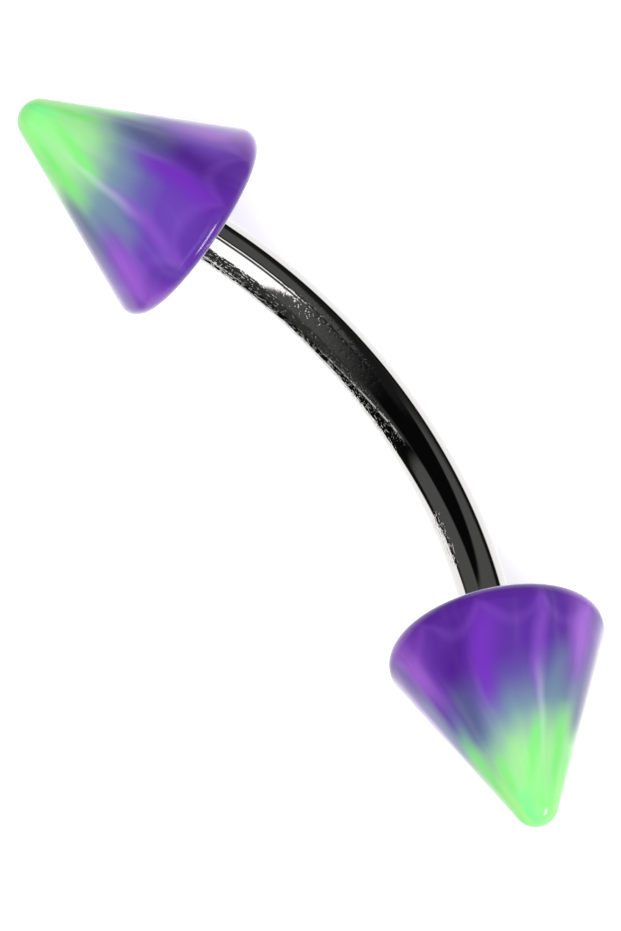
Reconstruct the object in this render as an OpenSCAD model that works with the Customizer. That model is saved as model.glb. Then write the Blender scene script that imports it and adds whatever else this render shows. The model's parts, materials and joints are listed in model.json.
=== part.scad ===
// Curved eyebrow barbell: a bent round bar with a screwed-on cone spike at each end.
// Millimetres, +Z up. The barbell lies as it comes to rest by itself: on the rims of both spikes and the
// middle of the bar. The origin is under the centre of its bounding box, on the surface.

/* [Bar] */
// Diameter of the bar, 16 gauge
bar_d = 1.2; // [1.1:0.1:1.6]
// Straight distance between the two ends of the bar, where the spikes seat
bar_len = 12; // [10:0.5:16]
// Angle between the directions of the two ends
bend_angle = 58; // [40:1:70]
// Straight stretch between the bend and each end
straight_len = 0.8; // [0.2:0.1:1.5]

/* [Screw posts] */
// Diameter of the post, between the root and the crest of its screw thread
post_d = 1; // [0.8:0.05:1]
// Length of the post beyond the end of the bar
post_len = 2.8; // [2:0.1:3]
// Chamfer on the tip of the post
post_chamfer = 0.15; // [0.05:0.05:0.3]

/* [Spikes] */
// Diameter of the base of a spike
spike_d = 5.2; // [4.6:0.1:6]
// Height of a spike from its base to its tip
spike_h = 5.2; // [4.8:0.1:6]
// Radius of the rounded tip
tip_r = 0.55; // [0.3:0.05:0.7]
// Radius of the rounded rim round the base
rim_r = 0.35; // [0.1:0.05:0.5]

/* [Fits] */
// Clearance between a post and its bore, measured on the radius
bore_clearance = 0.03; // [0.01:0.01:0.08]
// Gap between the end of the bar and the base of the spike that seats on it
seat_gap = 0.02; // [0.01:0.01:0.05]
// Depth of the bore beyond the tip of the post
bore_spare = 0.2; // [0.1:0.1:0.4]

/* [Hidden] */
$fn = 96;
// Points along each rounded corner of the spike's outline
arc_steps = 12;
// Runs past a face that is cut, so that the cut is clean, in millimetres and in degrees
cut_over = 1;
// Longer than the barbell, for a block that cuts it in two
cut_block = 4 * bar_len;

half_bend = bend_angle / 2;
bend_r = (bar_len / 2 - straight_len * cos(half_bend)) / sin(half_bend);
// How far the middle of the bar stands out from the line between its ends
rise = bend_r * (1 - cos(half_bend)) + straight_len * sin(half_bend);

bore_d = post_d + 2 * bore_clearance;
bore_depth = post_len - seat_gap + bore_spare;

// Centres of the two rounded corners of a spike's outline, as [radius, height]
rim_centre = [spike_d / 2 - rim_r, rim_r];
tip_centre = [0, spike_h - tip_r];
// The slanted side touches both corners, so it leans in by this angle.
corner_line = tip_centre - rim_centre;
side_lean = atan2(corner_line.y, corner_line.x) - acos((rim_r - tip_r) / norm(corner_line));

// Reach of each part of the barbell below the line between the bar's ends, when the bulge of the bar is
// turned down by an angle a from the horizontal
function rim_reach(a) =
    let (towards_tip = seat_gap + rim_r, down = sin(half_bend) * sin(a))
    rim_centre.x * sqrt(1 - down * down) + rim_r - towards_tip * down;
function bar_reach(a) = rise * sin(a) + bar_d / 2;

// The barbell rolls on the rims of its spikes until the bar touches the surface too, or hangs straight down
// if it can't reach it. The angle is found by halving the range that holds it.
function settled_angle(low = 0, high = 90, halvings = 40) =
    let (middle = (low + high) / 2)
    halvings == 0 ? middle :
    bar_reach(middle) < rim_reach(middle) ?
        settled_angle(middle, high, halvings - 1) :
        settled_angle(low, middle, halvings - 1);

turn_down = settled_angle();
// Puts the lowest points on the surface, and the middle of the bounding box over the origin
lift = max(rim_reach(turn_down), bar_reach(turn_down));
centre_y = (seat_gap + rim_r) * sin(half_bend) * cos(turn_down);

// Points on an arc from angle a to angle b, both included
function arc_points(centre, r, a, b) =
    [for (i = [0:arc_steps]) let (t = a + (b - a) * i / arc_steps) centre + r * [cos(t), sin(t)]];

// Turns the barbell from its own flat plane (bulge towards +Y) into the pose that it rests in
module resting()
    translate([0, centre_y, lift])
        rotate([-turn_down, 0, 0])
            children();

// Puts children on the lower spike's end of the bar, with their +Z along the screw post, away from the bar
module at_lower_end()
    translate([bar_len / 2, 0, 0])
        rotate([90, 0, 90 - half_bend])
            children();

// The upper spike's end is the mirror image of the lower one.
module at_upper_end()
    mirror([1, 0, 0])
        at_lower_end()
            children();

// Seen from the end of the bar: half of the bend and a little more, which the cut in half_bar takes off
module half_of_bend()
    translate([-bend_r, 0, -straight_len])
        rotate([-90, 0, 0])
            rotate_extrude(angle = half_bend + cut_over)
                translate([bend_r, 0])
                    circle(d = bar_d);

// The straight end of the bar with its post, chamfered at the tip
module bar_end() {
    translate([0, 0, -straight_len])
        cylinder(d = bar_d, h = straight_len);
    cylinder(d = post_d, h = post_len - post_chamfer);
    translate([0, 0, post_len - post_chamfer])
        cylinder(d1 = post_d, d2 = post_d - 2 * post_chamfer, h = post_chamfer);
}

// Half of the bar, from the middle of the bend to the tip of the lower post
module half_bar()
    intersection() {
        at_lower_end() {
            half_of_bend();
            bar_end();
        }
        translate([0, -cut_block / 2, -cut_block / 2])
            cube(cut_block);
    }

module curved_bar()
    color("dimgray")
        resting() {
            half_bar();
            mirror([1, 0, 0])
                half_bar();
        }

// Half of a spike's outline, from the middle of its base round the rim and up to the tip
module spike_outline()
    polygon(concat(
        [[0, 0]],
        arc_points(rim_centre, rim_r, -90, side_lean),
        arc_points(tip_centre, tip_r, side_lean, 90)
    ));

// A spike standing on its base, with its bore open below
module spike()
    difference() {
        rotate_extrude()
            spike_outline();
        translate([0, 0, -cut_over])
            cylinder(d = bore_d, h = bore_depth + cut_over);
    }

// A spike with its base against the end of the bar
module seated_spike()
    color("rebeccapurple")
        translate([0, 0, seat_gap])
            spike();

module upper_spike()
    resting()
        at_upper_end()
            seated_spike();

module lower_spike()
    resting()
        at_lower_end()
            seated_spike();

curved_bar();
upper_spike();
lower_spike();
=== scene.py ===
"""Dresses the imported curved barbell: a polished steel bar, two acrylic spikes and a white photo table."""

import json
import math
from collections import namedtuple

import bmesh
import bpy
from bpy.props import FloatProperty, FloatVectorProperty, IntProperty, PointerProperty
from mathutils import Matrix, Vector


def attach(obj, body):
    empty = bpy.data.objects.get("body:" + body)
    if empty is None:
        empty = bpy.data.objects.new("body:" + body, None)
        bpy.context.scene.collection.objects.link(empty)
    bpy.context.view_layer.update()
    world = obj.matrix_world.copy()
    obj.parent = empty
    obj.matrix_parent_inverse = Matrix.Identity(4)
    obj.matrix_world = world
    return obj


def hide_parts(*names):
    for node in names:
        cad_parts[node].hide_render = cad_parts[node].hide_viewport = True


bl_info = {
    "name": "Curved Barbell",
    "version": (1, 0, 0),
    "blender": (4, 5, 0),
    "location": "3D View > Sidebar > Barbell",
    "description": "Makes the steel bar and the acrylic spikes of a curved barbell",
    "category": "Add Mesh",
}

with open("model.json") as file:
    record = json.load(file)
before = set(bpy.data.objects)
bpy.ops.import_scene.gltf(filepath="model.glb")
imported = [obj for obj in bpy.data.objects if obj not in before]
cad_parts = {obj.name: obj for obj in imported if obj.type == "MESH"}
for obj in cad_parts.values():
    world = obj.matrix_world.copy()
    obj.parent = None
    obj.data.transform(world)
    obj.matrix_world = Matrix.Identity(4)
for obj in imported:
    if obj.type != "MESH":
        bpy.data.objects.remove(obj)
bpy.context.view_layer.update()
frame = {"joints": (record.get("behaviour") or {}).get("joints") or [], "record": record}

MM = 0.001
MERGE_DISTANCE = 0.0001 * MM
# Edges that turn by more than this stay sharp.
SHARP_ANGLE = math.radians(35)
WHITE = (1.0, 1.0, 1.0, 1.0)

# The bare bar between the spikes, as the record states it: the middle of the bend, the radius and the length
CHANNEL = frame["record"]["mounts"][0]
BAR_MIDDLE = Vector(CHANNEL["pos_m"])
BAR_RADIUS = CHANNEL["dims"]["r_mm"] * MM
BAR_LENGTH = CHANNEL["dims"]["length_mm"] * MM
# Each spike screws off along its own axis, which is also the direction of that end of the bar.
SPIKE_AXES = {joint["child"]: Vector(joint["axis"]).normalized() for joint in frame["joints"]}
ALONG = Vector((1, 0, 0))
HALF_BEND = SPIKE_AXES["lower_spike"].angle(ALONG)
# The side that the bar bulges to, and the direction square to the plane that the bar is bent in
BULGE = (ALONG * math.cos(HALF_BEND) - SPIKE_AXES["lower_spike"]).normalized()
SQUARE = ALONG.cross(BULGE)

# The colours of a spike from its rim to its tip, each at a share of the height. Here and in the streaks they
# are named as in the colour settings.
Stop = namedtuple("Stop", "height colour")
STOPS = (
    Stop(0.00, "rim_purple"),
    Stop(0.14, "purple"),
    Stop(0.30, "purple"),
    Stop(0.40, "blue_violet"),
    Stop(0.54, "slate"),
    Stop(0.61, "grey_green"),
    Stop(0.74, "pale_green"),
    Stop(0.92, "tip_green"),
)

# A streak of colour in a spike. It lies at an angle from the middle of the pattern, leans by so many degrees
# over the spike's height, and fades out that many degrees to each side. It lies between two shares of that
# height.
Streak = namedtuple("Streak", "colour angle lean half_width low high strength")
STREAKS = (
    Streak("light_violet", -48, -30, 15, -0.25, 0.50, 0.62),
    Streak("slate", -34, 10, 15, 0.20, 0.62, 0.50),
    Streak("violet", -18, 6, 8, -0.05, 0.64, 0.65),
    Streak("bright_violet", 20, 28, 16, -0.02, 0.62, 0.85),
    Streak("indigo", 38, 45, 18, -0.05, 0.64, 0.90),
    Streak("dark_slate", 48, 30, 22, 0.30, 0.69, 0.80),
    Streak("light_violet", 66, 20, 20, -0.15, 0.46, 0.52),
    Streak("bright_green", -44, 8, 17, 0.48, 0.94, 0.85),
    Streak("pale_green", -24, 30, 16, 0.56, 1.00, 0.70),
    Streak("bright_green", -4, 95, 15, 0.52, 0.92, 0.85),
    Streak("pale_green", 22, 50, 18, 0.60, 0.88, 0.75),
    Streak("bright_green", 45, 10, 18, 0.66, 0.92, 0.75),
    Streak("teal_green", 32, 0, 28, 0.82, 1.12, 0.85),
    Streak("lime", -50, 15, 26, 0.80, 1.15, 0.65),
    Streak("lime", 64, -10, 14, 0.74, 1.05, 0.60),
    Streak("milky", -19, 6, 6, 0.28, 0.82, 0.22),
)
# The streaks come again round the spike at this step.
STREAK_REPEAT = math.radians(120)
# A streak fades in and out over this share of its own length.
STREAK_FADE = 0.4
# How much higher the purple reaches on one side of a spike, as a share of the height
TILT = 0.065
# How far the streaks wander sideways, in radians, and how far the threads shift the colours up and down
WANDER = 0.25
THREADS = 0.10
# Share of white in the clouds
CLOUDINESS = 0.03
# Threads and clouds are drawn out along the spike: so far do they change over its whole height.
THREAD_CHANGE = 0.4
# A deeper purple has its full depth up to the first share of the height, and none from the second one on.
DEPTH_FULL = 0.25
DEPTH_NONE = 0.60

# Round the rim the colour lies in scallops. The curve of each one is this high at its middle and at its ends,
# as shares of the spike's height.
SCALLOP_WIDTH = math.radians(34)
SCALLOP_TURN = math.radians(-2)
SCALLOP_MIDDLE = 0.18
SCALLOP_END = 0.08
# A scallop starts to darken a little above its curve and is fully dark below it. The curve itself is pale.
SCALLOP_TOP = 0.02
SCALLOP_INSIDE = -0.05
SCALLOP_DARKNESS = 0.28
CURVE_HALF_WIDTH = 0.045
CURVE_STRENGTH = 0.18

ACRYLIC_FINISH = {
    "Roughness": 0.40,
    "Specular IOR Level": 0.0,
    "IOR": 1.49,
    "Coat Weight": 0.7,
    "Coat Roughness": 0.18,
    "Coat IOR": 1.45,
    "Sheen Weight": 1.0,
    "Sheen Roughness": 0.31,
    "Subsurface Weight": 0.25,
    "Subsurface Radius": (1.0, 0.8, 1.0),
    "Subsurface Scale": 0.3 * MM,
}
RIPPLE_DEPTH = 0.01 * MM
RIPPLE_STRENGTH = 0.5

# The steel is pitted in zones. A zone shows where all of its fades let it in, each from none to its full
# strength along one coordinate, in millimetres.
# X leads away from the centre of the bend, Y sideways and Z along the bar.
Fade = namedtuple("Fade", "coordinate none full")
INNER_BAND = (Fade("X", -0.20, -0.36), Fade("Y", 0.26, 0.14))
FIRST_HALF = (Fade("Z", 1.4, 0.2),)
LOWER_PATCH = (Fade("Z", 2.8, 3.1), Fade("Z", 4.6, 4.2))
BESIDE_BAND = (Fade("X", -0.12, -0.30), Fade("Z", 0.0, -1.2), Fade("Z", -4.3, -3.0))
BESIDE_STRENGTH = 0.45
# How fine the pits and the polishing lines are, per millimetre along X, Y and Z
PIT_SCALE = (20.0, 20.0, 8.0)
LINE_SCALE = (22.0, 22.0, 0.6)
LINE_DEPTH = 0.05
RELIEF_DEPTH = 0.004 * MM
# The least and the greatest roughness of the smudged steel
STEEL_ROUGHNESS = (0.04, 0.07)

# The steel mirrors the studio. It is painted on the sky as patches of light, each over the ones before it.
# A patch has one light all over, and each of its limits lets it in along a direction, from none to its full
# light. The directions lead away from the barbell.
Limit = namedtuple("Limit", "direction none full")
Patch = namedtuple("Patch", "light limits")
DARK_SKY = 0.003
ALONG_BAR = (1, 0, 0)
OUTER = (0, 1, 0)
DOWNWARD = (-0.152, -0.324, -0.934)
TABLE_FACE = (-0.635, -0.149, -0.758)
INNER_SIDE = Limit((-0.54, -0.79, -0.28), -0.05, 0.05)
NEAR_WALL = (0.904, 0.201, 0.377)
OUTER_WALL = (-0.596, 0.107, -0.796)
FAR_WALL = (-0.330, 0.600, -0.729)
PANEL_FACE = (0.876, 0.257, -0.407)
SKY = (
    # Glow beside the panel
    Patch(0.09, (Limit(ALONG_BAR, -0.15, 0.30), Limit(OUTER, 0.85, 0.60), Limit(OUTER, -0.75, -0.35))),
    # Walls on the inner side of the bar, and the bright edge where they meet
    Patch(0.092, (INNER_SIDE, Limit(ALONG_BAR, -0.33, -0.42))),
    Patch(0.040, (INNER_SIDE, Limit(NEAR_WALL, 0.00, 0.04))),
    Patch(
        0.70,
        (
            INNER_SIDE,
            Limit(NEAR_WALL, -0.02, 0.01),
            Limit(NEAR_WALL, 0.06, 0.03),
            Limit(OUTER, -0.30, -0.45),
        ),
    ),
    # Walls on the outer side, and the dark gap between them
    Patch(0.090, (Limit(OUTER_WALL, -0.03, 0.04), Limit(ALONG_BAR, -0.05, -0.12))),
    Patch(0.090, (Limit(FAR_WALL, -0.03, 0.03), Limit(ALONG_BAR, -0.12, -0.05))),
    Patch(0.012, (Limit(OUTER, 0.60, 0.80), Limit(ALONG_BAR, -0.21, -0.14), Limit(ALONG_BAR, 0.00, -0.08))),
    # White panel, and the strip lamp beside it
    Patch(
        1.50,
        (
            Limit(PANEL_FACE, 0.00, 0.04),
            Limit(ALONG_BAR, 0.71, 0.67),
            Limit(OUTER, 0.55, 0.52),
            Limit(OUTER, -0.38, -0.33),
        ),
    ),
    Patch(1.40, (Limit(ALONG_BAR, 0.13, 0.22), Limit(OUTER, 0.665, 0.68), Limit(OUTER, 0.73, 0.715))),
    # Dark rim of the table, the white table itself, and its shaded near side
    Patch(0.006, (Limit(DOWNWARD, 0.08, 0.10),)),
    Patch(1.20, (Limit(DOWNWARD, 0.13, 0.20),)),
    Patch(0.006, (Limit(TABLE_FACE, 0.40, 0.32), Limit(ALONG_BAR, 0.42, 0.34), Limit(DOWNWARD, -0.05, 0.05))),
)

# A lamp stands in a direction from the barbell. Its distance, width and height are in metres, and its power
# is in watts. The overhead lamp lights the colours and shows in no reflection. The side lamp only shows as
# glints in the acrylic.
Lamp = namedtuple("Lamp", "name direction distance width height power glint")
LAMPS = (
    Lamp("overhead", (0.150, 0.080, 0.985), 0.45, 0.60, 0.60, 3.6, False),
    Lamp("side_lamp", (0.895, 0.345, 0.200), 0.30, 0.15, 0.065, 0.65, True),
)
TABLE_RADIUS = 0.4
TABLE_WHITE = (0.75, 0.75, 0.75, 1.0)
TABLE_ROUGHNESS = (0.55, 0.65)


class BARBELL_PG_bar(bpy.types.PropertyGroup):
    """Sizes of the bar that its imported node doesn't state by itself"""

    straight_length: FloatProperty(
        name="Straight Ends",
        description="Straight stretch between the bend and each end of the bar",
        default=0.8 * MM,
        min=0.1 * MM,
        unit="LENGTH",
    )
    edge_break: FloatProperty(
        name="Edge Break",
        description="Chamfer round each end of the bar",
        default=0.03 * MM,
        min=0,
        unit="LENGTH",
    )
    post_diameter: FloatProperty(
        name="Post Diameter",
        description="Diameter of the screw post on each end",
        default=1.0 * MM,
        min=0.5 * MM,
        unit="LENGTH",
    )
    post_length: FloatProperty(
        name="Post Length",
        description="Length of the screw post beyond the end of the bar",
        default=2.8 * MM,
        min=1.0 * MM,
        unit="LENGTH",
    )
    post_chamfer: FloatProperty(
        name="Post Chamfer",
        description="Chamfer on the tip of the screw post",
        default=0.15 * MM,
        min=0,
        unit="LENGTH",
    )
    steps_round: IntProperty(
        name="Steps Round",
        description="Faces round the bar",
        default=96,
        min=12,
    )
    steps_along: IntProperty(
        name="Steps Along",
        description="Faces along the bend",
        default=96,
        min=12,
    )


class BARBELL_PG_spike(bpy.types.PropertyGroup):
    """Sizes of a spike, and how its colours are turned"""

    base_diameter: FloatProperty(
        name="Base Diameter",
        description="Diameter across the rim of a spike",
        default=5.2 * MM,
        min=3.0 * MM,
        unit="LENGTH",
    )
    height: FloatProperty(
        name="Height",
        description="Height of a spike from its base to its tip",
        default=5.2 * MM,
        min=3.0 * MM,
        unit="LENGTH",
    )
    tip_radius: FloatProperty(
        name="Tip Radius",
        description="Radius of the rounded tip",
        default=0.55 * MM,
        min=0.1 * MM,
        unit="LENGTH",
    )
    rim_radius: FloatProperty(
        name="Rim Radius",
        description="Radius of the rounded rim round the base",
        default=0.35 * MM,
        min=0.05 * MM,
        unit="LENGTH",
    )
    bore_diameter: FloatProperty(
        name="Bore Diameter",
        description="Diameter of the bore that takes the screw post",
        default=1.06 * MM,
        min=0.5 * MM,
        unit="LENGTH",
    )
    bore_depth: FloatProperty(
        name="Bore Depth",
        description="Depth of the bore from the base",
        default=2.98 * MM,
        min=1.0 * MM,
        unit="LENGTH",
    )
    bore_lead_in: FloatProperty(
        name="Bore Lead-in",
        description="Chamfer round the mouth of the bore",
        default=0.06 * MM,
        min=0,
        unit="LENGTH",
    )
    seat_gap: FloatProperty(
        name="Seat Gap",
        description="Gap between the end of the bar and the base of a spike",
        default=0.02 * MM,
        min=0,
        unit="LENGTH",
    )
    upper_turn: FloatProperty(
        name="Upper Turn",
        description="Turn of the upper spike's colours about its axis, from straight up",
        default=math.radians(17),
        subtype="ANGLE",
    )
    lower_turn: FloatProperty(
        name="Lower Turn",
        description="Turn of the lower spike's colours about its axis, from straight up",
        default=math.radians(-33),
        subtype="ANGLE",
    )
    lower_depth: FloatProperty(
        name="Lower Depth",
        description="How much deeper the purple of the lower spike is",
        default=0.55,
        min=0,
        max=1,
        subtype="FACTOR",
    )
    steps_round: IntProperty(
        name="Steps Round",
        description="Faces round a spike",
        default=192,
        min=24,
    )
    steps_corner: IntProperty(
        name="Steps per Corner",
        description="Faces across each rounded corner of a spike's outline",
        default=16,
        min=4,
    )


def colour_property(label, description, default):
    """A colour that a user may change, in linear light"""
    return FloatVectorProperty(
        name=label,
        description=description,
        default=default,
        size=3,
        min=0,
        max=1,
        subtype="COLOR",
    )


class BARBELL_PG_colours(bpy.types.PropertyGroup):
    """Colours of the acrylic and of the steel"""

    rim_purple: colour_property("Rim Purple", "Acrylic close to the rim", (0.098, 0.020, 0.295))
    purple: colour_property("Purple", "Acrylic over the lower half of a spike", (0.125, 0.045, 0.385))
    blue_violet: colour_property("Blue Violet", "Where the purple starts to turn", (0.122, 0.098, 0.362))
    violet: colour_property("Violet", "The thin streak in the purple", (0.220, 0.075, 0.490))
    light_violet: colour_property("Light Violet", "Pale streaks in the purple", (0.320, 0.100, 0.590))
    bright_violet: colour_property("Bright Violet", "Strongest streak in the purple", (0.155, 0.025, 0.440))
    indigo: colour_property("Indigo", "Dark streaks in the purple", (0.068, 0.010, 0.225))
    slate: colour_property("Slate", "Where the purple meets the green", (0.162, 0.260, 0.332))
    dark_slate: colour_property("Dark Slate", "Where an indigo streak meets the green", (0.088, 0.108, 0.232))
    grey_green: colour_property("Grey Green", "Where the green starts", (0.238, 0.412, 0.320))
    pale_green: colour_property("Pale Green", "Soft streaks in the green", (0.310, 0.700, 0.275))
    bright_green: colour_property("Bright Green", "Strong streaks in the green", (0.190, 0.740, 0.170))
    teal_green: colour_property("Teal Green", "Patches at the tip", (0.190, 0.800, 0.260))
    milky: colour_property("Milky", "Fine pale line in the middle", (0.62, 0.70, 0.72))
    lime: colour_property("Lime", "Yellowish streaks near the tip", (0.345, 0.800, 0.260))
    tip_green: colour_property("Tip Green", "Acrylic at the tip", (0.245, 0.790, 0.225))
    steel: colour_property("Steel", "Polished steel", (0.700, 0.690, 0.680))


class BARBELL_PG_studio(bpy.types.PropertyGroup):
    """Camera, table and lights"""

    camera_azimuth: FloatProperty(
        name="Camera Azimuth",
        description="Where the camera stands round the barbell",
        default=math.radians(154.78),
        subtype="ANGLE",
    )
    camera_elevation: FloatProperty(
        name="Camera Elevation",
        description="How far the camera looks down on the table",
        default=math.radians(68.79),
        subtype="ANGLE",
    )
    camera_roll: FloatProperty(
        name="Camera Roll",
        description="Turn of the camera about its own line of sight",
        default=math.radians(-102.24),
        subtype="ANGLE",
    )
    shift_right: FloatProperty(
        name="Shift Right",
        description="Middle of the picture from the point midway between the spikes, to the right",
        default=-0.8466 * MM,
        unit="LENGTH",
    )
    shift_up: FloatProperty(
        name="Shift Up",
        description="Middle of the picture from the point midway between the spikes, upwards",
        default=-0.8145 * MM,
        unit="LENGTH",
    )
    picture_height: FloatProperty(
        name="Picture Height",
        description="Height of what the picture shows at the barbell",
        default=22.10 * MM,
        min=5 * MM,
        unit="LENGTH",
    )
    lens: FloatProperty(
        name="Lens",
        description="Focal length in millimetres. A long one shows hardly any perspective",
        default=500,
        min=50,
    )
    table_glow: FloatProperty(
        name="Table Glow",
        description="Light that the table sends out by itself",
        default=0.6,
        min=0,
    )
    lamp_share: FloatProperty(
        name="Lamp Share",
        description="How bright the lamps burn, as a share of their full power",
        default=1.0,
        min=0,
        subtype="FACTOR",
    )


class Wiring:
    """Adds nodes to a node tree. Each input takes a socket of another node or a plain value."""

    def __init__(self, tree):
        self.tree = tree

    def add(self, kind, inputs=None, **settings):
        node = self.tree.nodes.new("ShaderNode" + kind)
        for name, value in settings.items():
            setattr(node, name, value)
        for name, value in (inputs or {}).items():
            if isinstance(value, bpy.types.NodeSocket):
                self.tree.links.new(value, node.inputs[name])
            else:
                node.inputs[name].default_value = value
        return node

    def math(self, operation, *values):
        node = self.add("Math", dict(enumerate(values)), operation=operation)
        return node.outputs[0]

    def product(self, value, *others):
        for other in others:
            value = self.math("MULTIPLY", value, other)
        return value

    def wrapped(self, angle, middle, half):
        """How far an angle is from the middle of its section, for sections that are two halves wide"""
        return self.math("WRAP", self.math("SUBTRACT", angle, middle), half, -half)

    def remap(self, value, low, high, to_low=0.0, to_high=1.0):
        """Maps low to to_low and high to to_high, with a soft start and end"""
        node = self.add(
            "MapRange",
            {"Value": value, "From Min": low, "From Max": high, "To Min": to_low, "To Max": to_high},
            interpolation_type="SMOOTHSTEP",
        )
        return node.outputs["Result"]

    def mix(self, share, first, second):
        """The first colour, with that share of the second"""
        node = self.add("Mix", data_type="RGBA")
        sockets = {"Factor_Float": share, "A_Color": first, "B_Color": second}
        for socket in node.inputs:
            value = sockets.get(socket.identifier)
            if isinstance(value, bpy.types.NodeSocket):
                self.tree.links.new(value, socket)
            elif value is not None:
                socket.default_value = value
        return node.outputs[2]

    def noise(self, vector, scale=1.0, detail=2.0, roughness=0.5):
        node = self.add(
            "TexNoise",
            {"Vector": vector, "Scale": scale, "Detail": detail, "Roughness": roughness},
        )
        return node.outputs[0]

    def stretched(self, vector, scale):
        node = self.add("Mapping", {"Vector": vector, "Scale": scale})
        return node.outputs["Vector"]

    def bump(self, height, distance, strength):
        node = self.add("Bump", {"Height": height, "Distance": distance, "Strength": strength})
        return node.outputs["Normal"]


def rgba(colour):
    return (*colour, 1.0)


def new_material(name):
    """A new material, the wiring that adds nodes to it, and its Principled shader"""
    material = bpy.data.materials.new(name)
    material.use_nodes = True
    tree = material.node_tree
    shader = tree.nodes["Principled BSDF"]
    return material, Wiring(tree), shader


def streak_group():
    """A node group that gives how strongly one streak shows at an angle and a height"""
    tree = bpy.data.node_groups.new("streak", "ShaderNodeTree")
    for name in ("Angle", "Height", "Middle", "Lean", "Half Width", "Low", "High", "Strength"):
        tree.interface.new_socket(name, in_out="INPUT", socket_type="NodeSocketFloat")
    tree.interface.new_socket("Share", in_out="OUTPUT", socket_type="NodeSocketFloat")
    wire = Wiring(tree)
    given = tree.nodes.new("NodeGroupInput").outputs
    middle_height = wire.product(wire.math("ADD", given["Low"], given["High"]), 0.5)
    above_middle = wire.math("SUBTRACT", given["Height"], middle_height)
    middle = wire.math("ADD", given["Middle"], wire.product(given["Lean"], above_middle))
    off = wire.wrapped(given["Angle"], middle, STREAK_REPEAT / 2)
    across = wire.remap(wire.math("ABSOLUTE", off), given["Half Width"], 0.0)
    fade = wire.product(wire.math("SUBTRACT", given["High"], given["Low"]), STREAK_FADE)
    start = wire.remap(given["Height"], given["Low"], wire.math("ADD", given["Low"], fade))
    end = wire.remap(given["Height"], given["High"], wire.math("SUBTRACT", given["High"], fade))
    share = wire.product(across, wire.product(start, end), given["Strength"])
    tree.links.new(share, tree.nodes.new("NodeGroupOutput").inputs["Share"])
    return tree


def height_ramp(wire, height, colours):
    """The colour at a height, from the rim to the tip"""
    ramp = wire.add("ValToRGB", {"Fac": height})
    elements = ramp.color_ramp.elements
    while len(elements) < len(STOPS):
        elements.new(1.0)
    for element, stop in zip(elements, STOPS):
        element.position = stop.height
        element.color = rgba(getattr(colours, stop.colour))
    return ramp.outputs["Color"]


def add_streak(wire, group, streak, colour, angle, height, colours):
    """The colour with one streak over it"""
    node = wire.add(
        "Group",
        {
            "Angle": angle,
            "Height": height,
            "Middle": math.radians(streak.angle),
            "Lean": math.radians(streak.lean),
            "Half Width": math.radians(streak.half_width),
            "Low": streak.low,
            "High": streak.high,
            "Strength": streak.strength,
        },
        node_tree=group,
    )
    return wire.mix(node.outputs["Share"], colour, rgba(getattr(colours, streak.colour)))


def add_scallops(wire, colour, angle, height, colours):
    """Darker scallops round the rim, each below a fine pale curve"""
    half = SCALLOP_WIDTH / 2
    off = wire.math("DIVIDE", wire.wrapped(angle, SCALLOP_TURN, half), half)
    drop = wire.product(off, off, SCALLOP_MIDDLE - SCALLOP_END)
    above_curve = wire.math("SUBTRACT", wire.math("ADD", height, drop), SCALLOP_MIDDLE)
    inside = wire.remap(above_curve, SCALLOP_TOP, SCALLOP_INSIDE, 0.0, SCALLOP_DARKNESS)
    curve = wire.remap(wire.math("ABSOLUTE", above_curve), CURVE_HALF_WIDTH, 0.0, 0.0, CURVE_STRENGTH)
    colour = wire.mix(inside, colour, rgba(colours.indigo))
    return wire.mix(curve, colour, rgba(colours.violet))


def acrylic(material_name, turn, depth, group, sizes, colours):
    """Swirled acrylic, purple at the rim and green at the tip, with a share of indigo over the purple"""
    material, wire, shader = new_material(material_name)
    turned = wire.add("Attribute", attribute_name="turned").outputs["Vector"]
    place = wire.add("SeparateXYZ", {"Vector": turned}).outputs
    height = wire.math("DIVIDE", place["Z"], sizes.height / MM)
    angle = wire.math("SUBTRACT", wire.math("ARCTAN2", place["Y"], place["X"]), turn)

    # A soft wander keeps the streaks from running dead straight, and threads run up the spike between them.
    wander = wire.math("SUBTRACT", wire.noise(turned, scale=0.7, detail=1.0), 0.5)
    angle = wire.math("ADD", angle, wire.product(wander, WANDER))
    round_the_spike = wire.add(
        "CombineXYZ",
        {
            "X": wire.math("COSINE", angle),
            "Y": wire.math("SINE", angle),
            "Z": wire.product(height, THREAD_CHANGE),
        },
    ).outputs["Vector"]
    threads = wire.noise(round_the_spike, scale=2.6, detail=1.0, roughness=0.4)
    threads = wire.math("SUBTRACT", threads, 0.5)
    # The purple reaches higher on one side of the spike than on the other.
    tilted = wire.math("MULTIPLY_ADD", wire.math("SINE", angle), -TILT, height)
    colour = height_ramp(wire, wire.math("MULTIPLY_ADD", threads, THREADS, tilted), colours)
    deeper = wire.remap(height, DEPTH_NONE, DEPTH_FULL, 0.0, depth)
    colour = wire.mix(deeper, colour, rgba(colours.indigo))
    for streak in STREAKS:
        colour = add_streak(wire, group, streak, colour, angle, height, colours)
    colour = add_scallops(wire, colour, angle, height, colours)
    clouds = wire.noise(round_the_spike, scale=4.0)
    colour = wire.mix(wire.remap(clouds, 0.45, 0.75, 0.0, CLOUDINESS), colour, WHITE)

    ripple = wire.noise(turned, scale=1.6)
    wire.tree.links.new(colour, shader.inputs["Base Color"])
    wire.tree.links.new(wire.bump(ripple, RIPPLE_DEPTH, RIPPLE_STRENGTH), shader.inputs["Normal"])
    for name, value in ACRYLIC_FINISH.items():
        shader.inputs[name].default_value = value
    return material


def zone(wire, place, fades):
    """How strongly a zone of the bar shows at a place"""
    return wire.product(*(wire.remap(place[fade.coordinate], fade.none, fade.full) for fade in fades))


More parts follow.
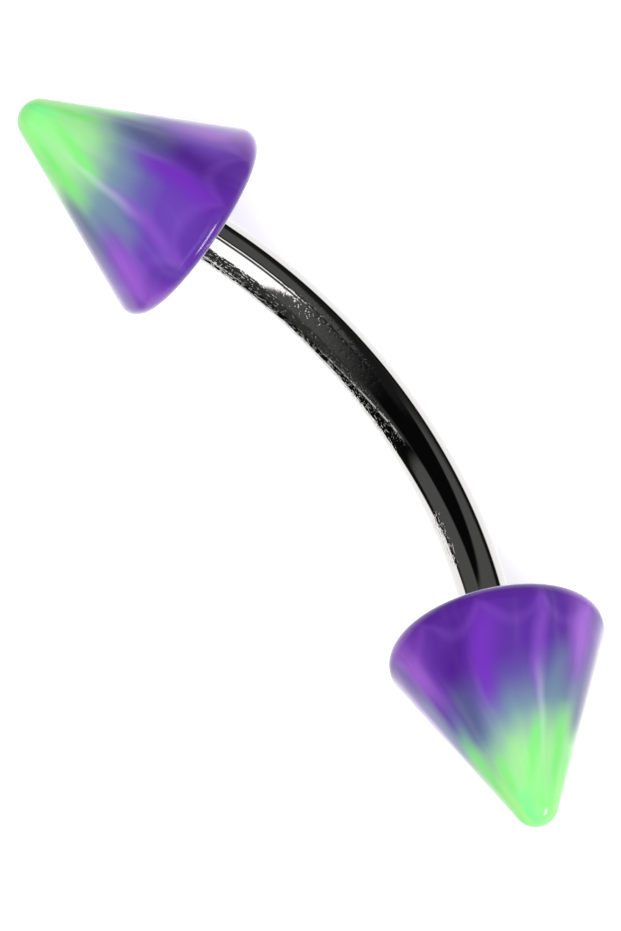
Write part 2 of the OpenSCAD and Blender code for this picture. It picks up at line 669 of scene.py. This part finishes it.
def polished_steel(colours):
    """Steel polished along the bar, and pitted on the inside of the bend"""
    material, wire, shader = new_material("polished_steel")
    polish = wire.add("Attribute", attribute_name="polish").outputs["Vector"]
    place = wire.add("SeparateXYZ", {"Vector": polish}).outputs
    lines = wire.noise(wire.stretched(polish, LINE_SCALE))
    pits = wire.noise(wire.stretched(polish, PIT_SCALE), detail=1.0)
    pits = wire.remap(pits, 0.50, 0.68)
    # The pits lie in a band along the inside of the bend, and past the middle only near the lower end.
    lengths = wire.math("MAXIMUM", zone(wire, place, FIRST_HALF), zone(wire, place, LOWER_PATCH))
    band = wire.product(zone(wire, place, INNER_BAND), lengths)
    # A few more lie beside the band, over the first half of the bend.
    beside = wire.product(zone(wire, place, BESIDE_BAND), BESIDE_STRENGTH)
    worn = wire.math("MAXIMUM", band, beside)
    relief = wire.math("MULTIPLY_ADD", pits, worn, wire.product(lines, LINE_DEPTH))
    smudges = wire.noise(polish, scale=0.8)
    wire.tree.links.new(wire.remap(smudges, 0.3, 0.7, *STEEL_ROUGHNESS), shader.inputs["Roughness"])
    wire.tree.links.new(wire.bump(relief, RELIEF_DEPTH, 1.0), shader.inputs["Normal"])
    shader.inputs["Base Color"].default_value = rgba(colours.steel)
    shader.inputs["Metallic"].default_value = 1.0
    return material


def white_table(studio):
    """The lit white table that the barbell lies on"""
    material, wire, shader = new_material("white_table")
    grain = wire.noise(wire.add("TexCoord").outputs["Object"], scale=900.0, detail=3.0)
    wire.tree.links.new(wire.remap(grain, 0.3, 0.7, *TABLE_ROUGHNESS), shader.inputs["Roughness"])
    shader.inputs["Base Color"].default_value = TABLE_WHITE
    shader.inputs["Emission Color"].default_value = WHITE
    shader.inputs["Emission Strength"].default_value = studio.table_glow
    return material


def add_piece(bm, name, material, body):
    """Makes an object of a finished mesh, smooth where it is round, and lets it ride on its body"""
    bmesh.ops.recalc_face_normals(bm, faces=bm.faces)
    mesh = bpy.data.meshes.new(name)
    bm.to_mesh(mesh)
    bm.free()
    mesh.shade_smooth()
    mesh.set_sharp_from_angle(angle=SHARP_ANGLE)
    mesh.materials.append(material)
    piece = bpy.data.objects.new(name, mesh)
    bpy.context.scene.collection.objects.link(piece)
    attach(piece, body)
    return piece


def radius_of_bend(straight_length):
    """The radius of the bar's middle line, between its straight ends"""
    return (BAR_LENGTH / 2 - straight_length * math.cos(HALF_BEND)) / math.sin(HALF_BEND)


def seat_of(name, straight_length):
    """The middle of the bar's end that a spike seats on"""
    side = math.copysign(1, SPIKE_AXES[name].dot(ALONG))
    rise = radius_of_bend(straight_length) * (1 - math.cos(HALF_BEND)) + straight_length * math.sin(HALF_BEND)
    return BAR_MIDDLE - BULGE * rise + ALONG * side * BAR_LENGTH / 2


def draw_ring(bm, ring, middle, direction, radius_share, distance):
    """Extrudes a ring of edges along a direction, and makes it wider or narrower about its middle"""
    extruded = bmesh.ops.extrude_edge_only(bm, edges=ring)["geom"]
    verts = [item for item in extruded if isinstance(item, bmesh.types.BMVert)]
    bmesh.ops.translate(bm, verts=verts, vec=direction * distance)
    around = Matrix.Translation(-(middle + direction * distance))
    bmesh.ops.scale(bm, verts=verts, vec=(radius_share,) * 3, space=around)
    return [item for item in extruded if isinstance(item, bmesh.types.BMEdge)]


def finish_end(bm, ring, name, sizes):
    """Draws a ring at the end of the bend out to the bar's end, and on to the tip of the screw post"""
    direction = SPIKE_AXES[name]
    seat = seat_of(name, sizes.straight_length)
    post_radius = sizes.post_diameter / 2
    # Each step: how far along the axis from the bar's end, and the radius there
    steps = (
        (-sizes.edge_break, BAR_RADIUS),
        (0.0, BAR_RADIUS - sizes.edge_break),
        (0.0, post_radius),
        (sizes.post_length - sizes.post_chamfer, post_radius),
        (sizes.post_length, post_radius - sizes.post_chamfer),
    )
    at = -sizes.straight_length
    radius = BAR_RADIUS
    for reach, wanted in steps:
        ring = draw_ring(bm, ring, seat + direction * at, direction, wanted / radius, reach - at)
        at = reach
        radius = wanted
    bmesh.ops.edgeloop_fill(bm, edges=ring)


def mark_polish(bm, bend_radius):
    """Stores the direction from the bar's middle line and the length along it, for the marks of polishing"""
    layer = bm.verts.layers.float_vector.new("polish")
    centre = BAR_MIDDLE - BULGE * bend_radius
    for vert in bm.verts:
        spoke = vert.co - centre
        turn = math.atan2(spoke.dot(ALONG), spoke.dot(BULGE))
        turn = max(-HALF_BEND, min(HALF_BEND, turn))
        outward = ALONG * math.sin(turn) + BULGE * math.cos(turn)
        onward = ALONG * math.cos(turn) - BULGE * math.sin(turn)
        past_bend = spoke.dot(onward)
        vert[layer] = (
            (spoke.dot(outward) - bend_radius) / MM,
            spoke.dot(SQUARE) / MM,
            (turn * bend_radius + past_bend) / MM,
        )


class BARBELL_OT_make_bar(bpy.types.Operator):
    """Make the bent steel bar with a screw post on each end"""

    bl_idname = "barbell.make_bar"
    bl_label = "Make Bar"

    def execute(self, context):
        sizes = context.scene.barbell_bar
        bend_radius = radius_of_bend(sizes.straight_length)
        centre = BAR_MIDDLE - BULGE * bend_radius
        bm = bmesh.new()
        # The ring stands square to the bar at the upper end of the bend, and is spun to the lower end.
        start = ALONG * -math.sin(HALF_BEND) + BULGE * math.cos(HALF_BEND)
        placing = Matrix((start, SQUARE, start.cross(SQUARE))).transposed().to_4x4()
        placing.translation = centre + start * bend_radius
        ring = bmesh.ops.create_circle(bm, radius=BAR_RADIUS, segments=sizes.steps_round, matrix=placing)
        first_ring = list({edge for vert in ring["verts"] for edge in vert.link_edges})
        spun = bmesh.ops.spin(
            bm,
            geom=first_ring,
            cent=centre,
            axis=SQUARE,
            angle=-2 * HALF_BEND,
            steps=sizes.steps_along,
        )
        last_ring = [item for item in spun["geom_last"] if isinstance(item, bmesh.types.BMEdge)]
        finish_end(bm, first_ring, "upper_spike", sizes)
        finish_end(bm, last_ring, "lower_spike", sizes)
        mark_polish(bm, bend_radius)
        material = polished_steel(context.scene.barbell_colours)
        bar = add_piece(bm, "steel_bar", material, "bar")
        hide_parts("curved_bar")
        return {"FINISHED"}


def spike_outline(bm, sizes):
    """Half of a spike's outline, from the end of its bore round the rim and up to the tip"""
    bore_radius = sizes.bore_diameter / 2
    rim = Vector((sizes.base_diameter / 2 - sizes.rim_radius, 0, sizes.rim_radius))
    tip = Vector((0, 0, sizes.height - sizes.tip_radius))
    side = tip - rim
    lean = math.atan2(side.z, side.x) - math.acos((sizes.rim_radius - sizes.tip_radius) / side.length)
    corners = (
        (0, sizes.bore_depth),
        (bore_radius, sizes.bore_depth),
        (bore_radius, sizes.bore_lead_in),
        (bore_radius + sizes.bore_lead_in, 0),
        (rim.x, 0),
    )
    vert = bm.verts.new((corners[0][0], 0, corners[0][1]))
    for x, z in corners[1:]:
        vert = line_to(bm, vert, Vector((x, 0, z)))
    vert = arc_round(bm, vert, rim, lean + math.pi / 2, sizes.steps_corner)
    vert = line_to(bm, vert, tip + Vector((math.cos(lean), 0, math.sin(lean))) * sizes.tip_radius)
    arc_round(bm, vert, tip, math.pi / 2 - lean, sizes.steps_corner)


def line_to(bm, vert, place):
    """Draws a straight edge on from a vertex"""
    extruded = bmesh.ops.extrude_vert_indiv(bm, verts=[vert])["verts"]
    bmesh.ops.translate(bm, verts=extruded, vec=place - vert.co)
    return extruded[0]


def arc_round(bm, vert, centre, angle, steps):
    """Draws an arc on from a vertex, upwards round a centre"""
    spun = bmesh.ops.spin(bm, geom=[vert], cent=centre, axis=(0, -1, 0), angle=angle, steps=steps)
    return next(item for item in spun["geom_last"] if isinstance(item, bmesh.types.BMVert))


def make_spike(name, turn, depth, group, context):
    """A cone with a rounded rim and tip and a bore, seated on its end of the bar"""
    sizes = context.scene.barbell_spike
    bm = bmesh.new()
    spike_outline(bm, sizes)
    bmesh.ops.spin(
        bm,
        geom=bm.verts[:] + bm.edges[:],
        cent=(0, 0, 0),
        axis=(0, 0, 1),
        angle=math.tau,
        steps=sizes.steps_round,
        use_merge=True,
    )
    bmesh.ops.remove_doubles(bm, verts=bm.verts, dist=MERGE_DISTANCE)
    # The colours follow the spike's own frame, in millimetres, with Z along the axis and X upwards.
    layer = bm.verts.layers.float_vector.new("turned")
    for vert in bm.verts:
        vert[layer] = vert.co / MM
    axis = SPIKE_AXES[name]
    upward = (Vector((0, 0, 1)) - axis * axis.z).normalized()
    placing = Matrix((upward, axis.cross(upward), axis)).transposed().to_4x4()
    placing.translation = seat_of(name, context.scene.barbell_bar.straight_length) + axis * sizes.seat_gap
    bmesh.ops.transform(bm, matrix=placing, verts=bm.verts)
    material = acrylic(f"{name}_acrylic", turn, depth, group, sizes, context.scene.barbell_colours)
    spike = add_piece(bm, f"acrylic_{name}", material, name)
    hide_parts(name)


class BARBELL_OT_make_spikes(bpy.types.Operator):
    """Make the two acrylic spikes"""

    bl_idname = "barbell.make_spikes"
    bl_label = "Make Spikes"

    def execute(self, context):
        sizes = context.scene.barbell_spike
        group = streak_group()
        make_spike("upper_spike", sizes.upper_turn, 0.0, group, context)
        make_spike("lower_spike", sizes.lower_turn, sizes.lower_depth, group, context)
        return {"FINISHED"}


def add_camera(studio):
    """The camera looks down on the table at the photograph's angle."""
    level = math.cos(studio.camera_elevation)
    back = Vector(
        (
            math.sin(studio.camera_azimuth) * level,
            -math.cos(studio.camera_azimuth) * level,
            math.sin(studio.camera_elevation),
        )
    )
    turned = back.to_track_quat("Z", "Y").to_matrix() @ Matrix.Rotation(studio.camera_roll, 3, "Z")
    data = bpy.data.cameras.new("camera")
    data.lens = studio.lens
    data.clip_start = 0.01
    data.clip_end = 10
    camera = bpy.data.objects.new("camera", data)
    bpy.context.scene.collection.objects.link(camera)
    seats = [seat_of(name, bpy.context.scene.barbell_bar.straight_length) for name in SPIKE_AXES]
    middle = sum(seats, Vector()) / len(seats)
    target = middle + turned.col[0] * studio.shift_right + turned.col[1] * studio.shift_up
    distance = studio.picture_height * studio.lens / data.sensor_width
    camera.matrix_world = Matrix.Translation(target + back * distance) @ turned.to_4x4()
    bpy.context.scene.camera = camera


def add_lamp(lamp, share):
    """A rectangular lamp that faces the barbell"""
    data = bpy.data.lights.new(lamp.name, "AREA")
    data.shape = "RECTANGLE"
    data.size = lamp.width
    data.size_y = lamp.height
    data.energy = lamp.power * share
    light = bpy.data.objects.new(lamp.name, data)
    bpy.context.scene.collection.objects.link(light)
    towards = Vector(lamp.direction).normalized()
    light.location = towards * lamp.distance
    light.rotation_euler = towards.to_track_quat("Z", "Y").to_euler()
    light.visible_camera = False
    light.visible_diffuse = not lamp.glint
    light.visible_glossy = lamp.glint


def add_table(studio):
    """A round white table, with its surface where the barbell rests"""
    bm = bmesh.new()
    bmesh.ops.create_circle(bm, cap_ends=True, radius=TABLE_RADIUS, segments=128)
    mesh = bpy.data.meshes.new("table")
    bm.to_mesh(mesh)
    bm.free()
    mesh.materials.append(white_table(studio))
    table = bpy.data.objects.new("table", mesh)
    bpy.context.scene.collection.objects.link(table)
    # The steel mirrors the sky's own white table, which is turned a little from this one.
    table.visible_glossy = False


def light_world():
    """White to the camera. What the barbell mirrors is the painted studio."""
    world = bpy.data.worlds.new("studio")
    world.use_nodes = True
    wire = Wiring(world.node_tree)
    direction = wire.add("TexCoord").outputs["Generated"]
    light = DARK_SKY
    for patch in SKY:
        shares = []
        for limit in patch.limits:
            along = wire.add("VectorMath", {0: direction, 1: limit.direction}, operation="DOT_PRODUCT")
            shares.append(wire.remap(along.outputs["Value"], limit.none, limit.full))
        share = wire.product(*shares)
        left = wire.product(light, wire.math("SUBTRACT", 1.0, share))
        light = wire.math("MULTIPLY_ADD", share, patch.light, left)
    seen = wire.add("LightPath").outputs["Is Camera Ray"]
    background = world.node_tree.nodes["Background"]
    background.inputs["Color"].default_value = WHITE
    world.node_tree.links.new(wire.math("MAXIMUM", light, seen), background.inputs["Strength"])
    bpy.context.scene.world = world


class BARBELL_OT_set_studio(bpy.types.Operator):
    """Set up the camera, the table and the lights"""

    bl_idname = "barbell.set_studio"
    bl_label = "Set Up Studio"

    def execute(self, context):
        studio = context.scene.barbell_studio
        add_camera(studio)
        add_table(studio)
        light_world()
        for lamp in LAMPS:
            add_lamp(lamp, studio.lamp_share)
        context.scene.view_settings.view_transform = "Standard"
        return {"FINISHED"}


class BARBELL_PT_panel(bpy.types.Panel):
    """Lists the pieces of the barbell and their sizes"""

    bl_idname = "BARBELL_PT_panel"
    bl_label = "Curved Barbell"
    bl_space_type = "VIEW_3D"
    bl_region_type = "UI"
    bl_category = "Barbell"

    def draw(self, context):
        for operator, settings in (
            (BARBELL_OT_make_bar, context.scene.barbell_bar),
            (BARBELL_OT_make_spikes, context.scene.barbell_spike),
            (BARBELL_OT_set_studio, context.scene.barbell_studio),
        ):
            box = self.layout.box()
            box.operator(operator.bl_idname)
            for name in settings.__annotations__:
                box.prop(settings, name)
        box = self.layout.box()
        for name in context.scene.barbell_colours.__annotations__:
            box.prop(context.scene.barbell_colours, name)


CLASSES = (
    BARBELL_PG_bar,
    BARBELL_PG_spike,
    BARBELL_PG_colours,
    BARBELL_PG_studio,
    BARBELL_OT_make_bar,
    BARBELL_OT_make_spikes,
    BARBELL_OT_set_studio,
    BARBELL_PT_panel,
)


def register():
    for made in CLASSES:
        bpy.utils.register_class(made)
    bpy.types.Scene.barbell_bar = PointerProperty(type=BARBELL_PG_bar)
    bpy.types.Scene.barbell_spike = PointerProperty(type=BARBELL_PG_spike)
    bpy.types.Scene.barbell_colours = PointerProperty(type=BARBELL_PG_colours)
    bpy.types.Scene.barbell_studio = PointerProperty(type=BARBELL_PG_studio)


def unregister():
    del bpy.types.Scene.barbell_studio
    del bpy.types.Scene.barbell_colours
    del bpy.types.Scene.barbell_spike
    del bpy.types.Scene.barbell_bar
    for made in reversed(CLASSES):
        bpy.utils.unregister_class(made)


def main():
    """Makes every piece in order"""
    register()
    bpy.ops.barbell.make_bar()
    bpy.ops.barbell.make_spikes()
    bpy.ops.barbell.set_studio()


if __name__ == "__main__":
    main()
